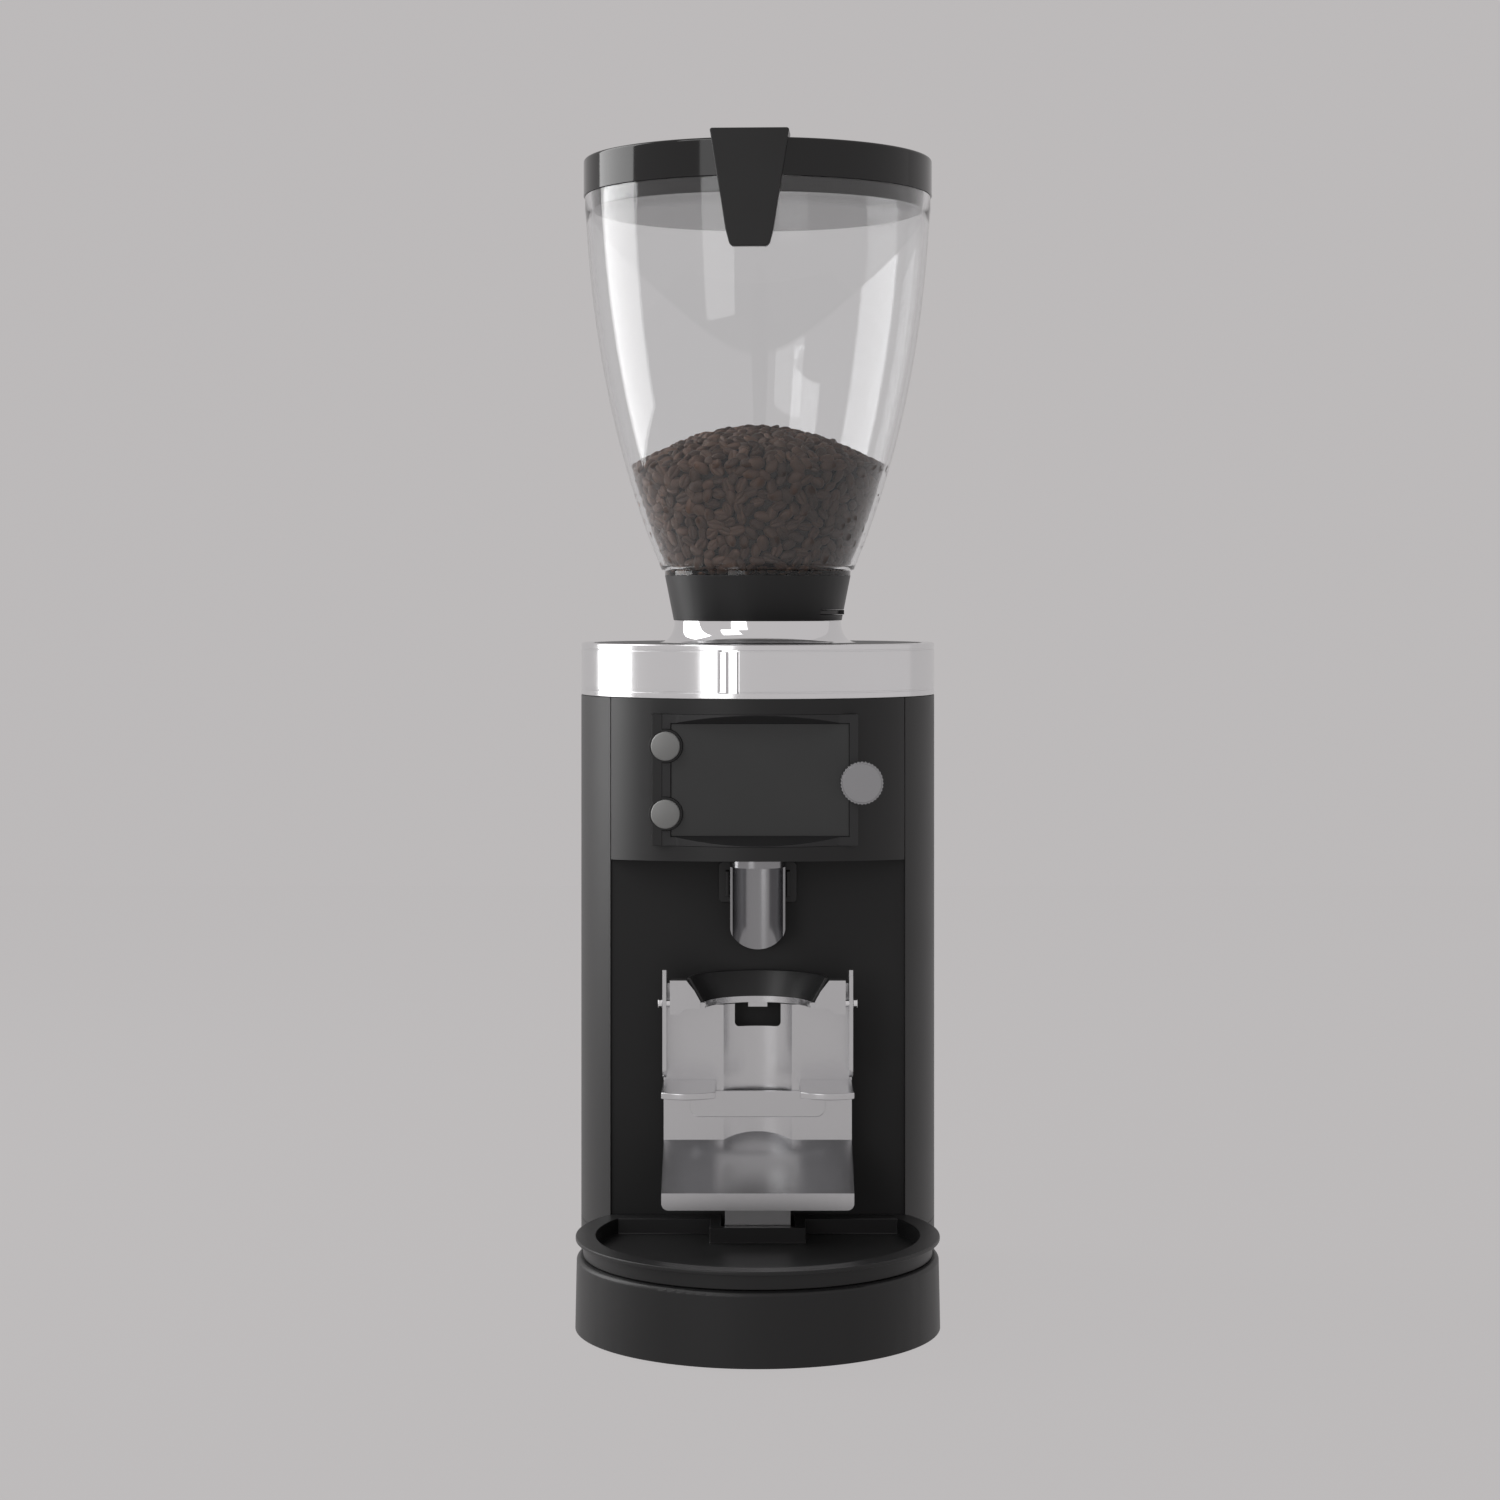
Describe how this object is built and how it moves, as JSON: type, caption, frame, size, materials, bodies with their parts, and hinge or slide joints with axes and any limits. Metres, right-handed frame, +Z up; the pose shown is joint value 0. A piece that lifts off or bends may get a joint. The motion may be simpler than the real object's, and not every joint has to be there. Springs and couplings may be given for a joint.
{
  "type": "burr coffee grinder",
  "caption": "Tall on-demand espresso grinder with a clear bean hopper, adjusting ring, display head, steel spout, height-set handle fork with half funnel, and catch tray.",
  "frame": {"origin": "on the worktop, midway between the left and right sides and between the front of the base and the rear cover", "axes": "+Z up, +Y to the rear, +X to the right as seen from the front, which faces -Y"},
  "size_m": [0.24, 0.3734, 0.7686],
  "materials": {
    "satin_black_metal": "fine satin powder coat, near black",
    "satin_side_panel": "satin anthracite powder coat",
    "black_plastic": "fine matte moulded black",
    "gloss_black_plastic": "deep gloss black",
    "dark_screen": "dark screen, switched off",
    "circuit_board": "green board",
    "light_grey_button": "silky light grey",
    "dark_knob": "dark anodised, turned face and ribbed rim",
    "rubber": "matte black rubber",
    "cast_aluminium": "machined casting",
    "copper_winding": "lacquered copper windings",
    "machined_steel": "ground steel",
    "dark_screws": "blackened steel screws",
    "polished_metal": "polished, softly reflecting",
    "brushed_steel": "satin stainless sheet",
    "clear_hopper": "clear, slightly grey plastic",
    "coffee_beans": "medium roasted coffee beans"
  },
  "bodies": {
    "housing": {"base_casting": "satin_black_metal", "bottom_plate": "satin_black_metal", "rubber_feet": "rubber", "left_side_panel": "satin_side_panel", "right_side_panel": "satin_side_panel", "rear_cover": "satin_side_panel", "cover_screws": "dark_screws", "niche_panel": "satin_black_metal", "head_panel": "satin_black_metal", "top_deck": "satin_black_metal", "display_bezel": "black_plastic", "display_screen": "dark_screen", "display_board": "circuit_board", "button_strip": "black_plastic", "knob_encoder": "black_plastic", "control_board": "circuit_board", "start_capacitor": "machined_steel", "power_inlet": "black_plastic", "grinding_chamber": "cast_aluminium", "motor_housing": "cast_aluminium", "motor_stator": "copper_winding", "motor_end_cap": "cast_aluminium", "upper_bearing": "machined_steel", "lower_bearing": "machined_steel", "outlet_chute": "black_plastic", "spout": "brushed_steel", "spout_plate": "black_plastic", "collar_posts": "machined_steel", "top_plate": "satin_black_metal", "hopper_collar": "polished_metal", "holder_post": "brushed_steel"},
    "ring": {"adjust_ring": "polished_metal", "ring_rib": "polished_metal", "ring_spider": "cast_aluminium"},
    "upper_grinder": {"upper_carrier": "cast_aluminium", "upper_burr": "machined_steel", "upper_burr_screws": "dark_screws"},
    "rotor": {"motor_shaft": "machined_steel", "motor_rotor": "machined_steel", "cooling_fan": "black_plastic", "lower_carrier": "cast_aluminium", "lower_burr": "machined_steel", "lower_burr_screws": "dark_screws"},
    "tray": {"catch_tray": "satin_black_metal"},
    "hopper": {"hopper_shell": "clear_hopper", "hopper_neck": "black_plastic", "bean_fill": "coffee_beans"},
    "gate": {"shutoff_gate": "black_plastic"},
    "hopper_lid": {"lid": "gloss_black_plastic", "lid_clip": "gloss_black_plastic"},
    "button_top": {"upper_button": "light_grey_button"},
    "button_bottom": {"lower_button": "light_grey_button"},
    "knob": {"menu_knob": "dark_knob"},
    "holder": {"holder_plate": "brushed_steel", "portafilter_fork": "brushed_steel", "slide_block": "black_plastic"},
    "clamp": {"clamp_bracket": "brushed_steel", "half_funnel": "black_plastic", "pivot_pins": "polished_metal"},
    "rocker": {"power_rocker": "black_plastic"}
  },
  "joints": [
    {"name": "grind_setting", "type": "hinge", "parent": "housing", "child": "ring", "pos_m": [0, 0.0627, 0.4187], "axis": [0, 0, 1], "range_deg": [-34, 34]},
    {"name": "burr_height", "type": "slide", "parent": "ring", "child": "upper_grinder", "axis": [0, 0, 1], "range_m": [-0.00016, 0.00016]},
    {"name": "motor_spin", "type": "hinge", "parent": "housing", "child": "rotor", "pos_m": [0, 0.0627, 0.3], "axis": [0, 0, 1], "continuous": true},
    {"name": "tray_slide", "type": "slide", "parent": "housing", "child": "tray", "axis": [0, -1, 0], "range_m": [0, 0.16]},
    {"name": "hopper_lift", "type": "slide", "parent": "housing", "child": "hopper", "axis": [0, 0, 1], "range_m": [0, 0.03]},
    {"name": "gate_slide", "type": "slide", "parent": "hopper", "child": "gate", "axis": [1, 0, 0], "range_m": [0, 0.07]},
    {"name": "lid_lift", "type": "slide", "parent": "hopper", "child": "hopper_lid", "axis": [0, 0, 1], "range_m": [0, 0.05]},
    {"name": "upper_button_press", "type": "slide", "parent": "housing", "child": "button_top", "axis": [0, 1, 0], "range_m": [0, 0.0015], "stiffness_N_per_m": 400},
    {"name": "lower_button_press", "type": "slide", "parent": "housing", "child": "button_bottom", "axis": [0, 1, 0], "range_m": [0, 0.0015], "stiffness_N_per_m": 400},
    {"name": "knob_turn", "type": "hinge", "parent": "housing", "child": "knob", "pos_m": [0.0672, -0.0473, 0.347], "axis": [0, 1, 0], "continuous": true},
    {"name": "holder_height", "type": "slide", "parent": "housing", "child": "holder", "axis": [0, 0, 1], "range_m": [-0.012, 0.002]},
    {"name": "clamp_lift", "type": "hinge", "parent": "holder", "child": "clamp", "pos_m": [0, -0.0493, 0.2045], "axis": [1, 0, 0], "range_deg": [0, 10], "stiffness_Nm_per_rad": 0.4},
    {"name": "power_switch", "type": "hinge", "parent": "housing", "child": "rocker", "pos_m": [0.024, 0.1797, 0.096], "axis": [1, 0, 0], "range_deg": [0, 14]}
  ],
  "couplings": [
    {"joint": "burr_height", "follows": "grind_setting", "m_per_rad": 0.00023873}
  ]
}
